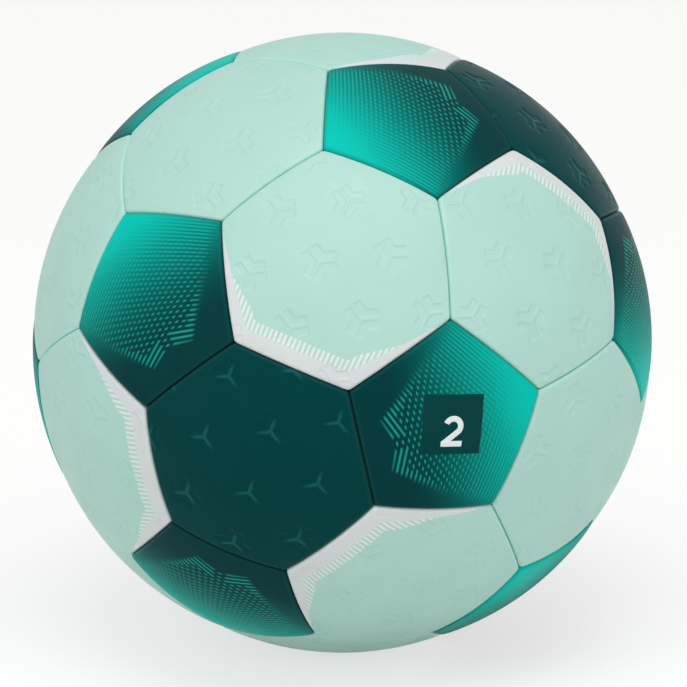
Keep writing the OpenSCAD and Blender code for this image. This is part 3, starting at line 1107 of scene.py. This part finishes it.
class HANDBALL_OT_backing(BuildStep, bpy.types.Operator):
    """Finish the foam and the woven lining under the covers"""

    bl_idname = "handball.backing"
    bl_label = "Foam and Lining"

    def execute(self, context):
        colours = context.scene.handball_colours
        foam = MaterialDesk("cell_foam", Specular_IOR_Level=0.2)
        fed = {"Vector": foam.object_position(), "Scale": 1800.0}
        cells = foam.add("ShaderNodeTexVoronoi", fed, feature="F1")
        walls = foam.ease(cells.outputs["Distance"], 0.1, 0.7)
        roughness = (walls, 0.1, 0.8)
        foam.finish_relief(walls, colours.foam, shade=0.7, roughness=roughness, height=0.0001)
        lining = MaterialDesk("woven_lining", Specular_IOR_Level=0.2)
        parts = lining.parts(lining.object_position())
        x, y, z = (lining.math("SINE", lining.times(part, 5000.0)) for part in parts)
        weave = lining.most(lining.times(x, y), lining.times(y, z))
        over = lining.ramp(weave, 0.5, 0.5)
        roughness = (over, -0.1, 0.9)
        lining.finish_relief(over, colours.lining, shade=0.6, roughness=roughness, height=0.0002)
        for kind in ("hexagon", "pentagon"):
            foam.put_on(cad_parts[f"{kind}_foam"])
            lining.put_on(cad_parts[f"{kind}_lining"])
        return {"FINISHED"}


class HANDBALL_OT_thread(BuildStep, bpy.types.Operator):
    """Finish the waxed thread of the seams"""

    bl_idname = "handball.thread"
    bl_label = "Seam Thread"

    def execute(self, context):
        colours = context.scene.handball_colours
        thread = MaterialDesk("waxed_thread", Specular_IOR_Level=0.5)
        position = thread.object_position()
        fed = {"Vector": position, "Scale": 900.0, "Distortion": 1.5}
        plies = thread.add("ShaderNodeTexWave", fed, wave_type="BANDS", bands_direction="DIAGONAL")
        wax = (thread.noise(position, scale=400.0), 0.3, 0.35)
        thread.finish_relief(
            plies.outputs["Fac"], colours.thread, shade=0.65, roughness=wax, height=0.0001
        )
        thread.put_on(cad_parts["seam_thread"])
        return {"FINISHED"}


class HANDBALL_OT_bladder(BuildStep, bpy.types.Operator):
    """Finish the rubber bladder"""

    bl_idname = "handball.bladder"
    bl_label = "Bladder"

    def execute(self, context):
        ground = context.scene.handball_colours.bladder[:]
        rubber("bladder_rubber", ground, roughness=0.55).put_on(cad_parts["bladder"])
        return {"FINISHED"}


class HANDBALL_OT_valve(BuildStep, bpy.types.Operator):
    """Finish the valve's housing and its core"""

    bl_idname = "handball.valve"
    bl_label = "Valve"

    def execute(self, context):
        ground = context.scene.handball_colours.valve[:]
        paler = tuple(1.6 * c for c in ground)
        rubber("core_rubber", ground, roughness=0.5).put_on(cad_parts["valve_core"])
        rubber("housing_rubber", paler, roughness=0.6).put_on(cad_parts["valve_housing"])
        return {"FINISHED"}


# Stage

def add_softbox(name, place, power):
    """A square lamp at a place, turned to the ball's middle."""
    light = bpy.data.lights.new(name, "AREA")
    light.size = SOFTBOX_SIZE
    light.energy = power
    lamp = bpy.data.objects.new(name, light)
    lamp.location = place
    lamp.rotation_euler = (-place).to_track_quat("-Z", "Y").to_euler()
    bpy.context.scene.collection.objects.link(lamp)


def seen_rays(desk):
    """1 for the rays that show the background: the camera's, and mirrored and transmitted ones."""
    rays = desk.add("ShaderNodeLightPath").outputs
    seen = desk.most(rays["Is Camera Ray"], rays["Is Glossy Ray"])
    return desk.most(seen, rays["Is Transmission Ray"])


class HANDBALL_OT_stage(BuildStep, bpy.types.Operator):
    """Set up the camera, the lamps, the world and the floor"""

    bl_idname = "handball.stage"
    bl_label = "Stage"

    def execute(self, context):
        scene = context.scene
        shape = scene.handball_shape
        scene.view_settings.view_transform = "Standard"

        # The camera stands far off, because the photograph was taken with a long lens.
        toward = Vector((-0.3235, -0.9009, 0.2892)).normalized()
        right = Vector((0.9412, -0.3380, 0.0)).normalized()
        up = toward.cross(right).normalized()
        right = up.cross(toward).normalized()
        pixels = 687
        ball_pixels = 310.2
        distances = 50
        off_right, off_up = 1.3, -0.9
        metres_per_pixel = shape.ball_radius / ball_pixels
        aim = (right * off_right + up * off_up) * metres_per_pixel
        data = bpy.data.cameras.new("photo_camera")
        data.sensor_width = 36.0
        data.lens = ball_pixels * math.sqrt(distances ** 2 - 1) * data.sensor_width / pixels
        camera = bpy.data.objects.new("photo_camera", data)
        matrix = Matrix((right, up, toward)).transposed().to_4x4()
        matrix.translation = toward * distances * shape.ball_radius + aim
        camera.matrix_world = matrix
        scene.collection.objects.link(camera)
        scene.camera = camera

        # Soft light from above and from the front's two sides
        front = Vector((toward.x, toward.y, 0)).normalized()
        for name, (ahead, aside, above, power) in SOFTBOXES.items():
            add_softbox(name, front * ahead + right * aside + Vector((0, 0, above)), power)

        # The world: white for the rays that show it, and dimmer as light on the ball
        world = bpy.data.worlds.new("studio")
        world.use_nodes = True
        world.node_tree.nodes.clear()
        desk = Desk(world.node_tree)
        strength = desk.blend(seen_rays(desk), WORLD_LIGHT, 1.0)
        background = desk.add("ShaderNodeBackground", {"Strength": strength})
        desk.add("ShaderNodeOutputWorld", background.outputs[:1])
        scene.world = world

        # The floor: a disc of rings under the ball, which glows only for the rays that show it
        rings = np.geomspace(0.02, 30.0, 40)
        spokes = 96
        turns = 2 * np.pi / spokes * np.arange(spokes)
        disc = (rings[:, None, None] * np.stack([np.cos(turns), np.sin(turns)], -1)).reshape(-1, 2)
        low = CAD_BOX[0][2]
        points = np.column_stack([disc, np.full(len(disc), low)])
        points = np.concatenate([points, [[0, 0, low]]])
        loops = list(np.arange(len(disc)).reshape(len(rings), len(turns)))
        pole = np.full(len(turns), len(disc))
        triangles = np.stack([pole, loops[0], np.roll(loops[0], -1)], -1)
        floor = new_piece("studio_floor", points, joined(loops), triangles)
        desk = MaterialDesk(
            "studio_floor", Specular_IOR_Level=0.0, Roughness=0.9, Emission_Strength=1.0
        )
        seen = seen_rays(desk)
        ground, unseen, glow = (
            tuple(part * c for c in scene.handball_colours.floor)
            for part in (FLOOR_SEEN, FLOOR_UNSEEN, FLOOR_GLOW)
        )
        desk.feed(desk.sockets["Base Color"], desk.mix(seen, unseen, ground))
        desk.feed(desk.sockets["Emission Color"], desk.mix(seen, (0.0, 0.0, 0.0), glow))
        desk.put_on(floor)
        return {"FINISHED"}


STEPS = (
    HANDBALL_OT_dark_hexagons,
    HANDBALL_OT_plain_hexagons,
    HANDBALL_OT_banded_hexagons,
    HANDBALL_OT_pentagons,
    HANDBALL_OT_size_patch,
    HANDBALL_OT_backing,
    HANDBALL_OT_thread,
    HANDBALL_OT_bladder,
    HANDBALL_OT_valve,
    HANDBALL_OT_stage,
)


class HANDBALL_PT_sidebar(bpy.types.Panel):
    """The steps that build the handball, in order, and its settings"""

    bl_idname = "HANDBALL_PT_sidebar"
    bl_label = "Handball"
    bl_space_type = "VIEW_3D"
    bl_region_type = "UI"
    bl_category = "Handball"

    def draw(self, context):
        column = self.layout.column(align=True)
        for step in STEPS:
            column.operator(step.bl_idname)
        for group in settings(context):
            box = self.layout.box()
            for name in group.__annotations__:
                box.prop(group, name)


GROUPS = {
    "handball_shape": HandballShape,
    "handball_motif": HandballMotif,
    "handball_print": HandballPrint,
    "handball_colours": HandballColours,
}
CLASSES = (*GROUPS.values(), *STEPS, HANDBALL_PT_sidebar)


def register():
    for cls in CLASSES:
        bpy.utils.register_class(cls)
    for name, group in GROUPS.items():
        setattr(bpy.types.Scene, name, bpy.props.PointerProperty(type=group))


def unregister():
    for name in GROUPS:
        delattr(bpy.types.Scene, name)
    for cls in reversed(CLASSES):
        bpy.utils.unregister_class(cls)


def main():
    register()
    bpy.ops.handball.dark_hexagons()
    bpy.ops.handball.plain_hexagons()
    bpy.ops.handball.banded_hexagons()
    bpy.ops.handball.pentagons()
    bpy.ops.handball.size_patch()
    bpy.ops.handball.backing()
    bpy.ops.handball.thread()
    bpy.ops.handball.bladder()
    bpy.ops.handball.valve()
    bpy.ops.handball.stage()


if __name__ == "__main__":
    main()
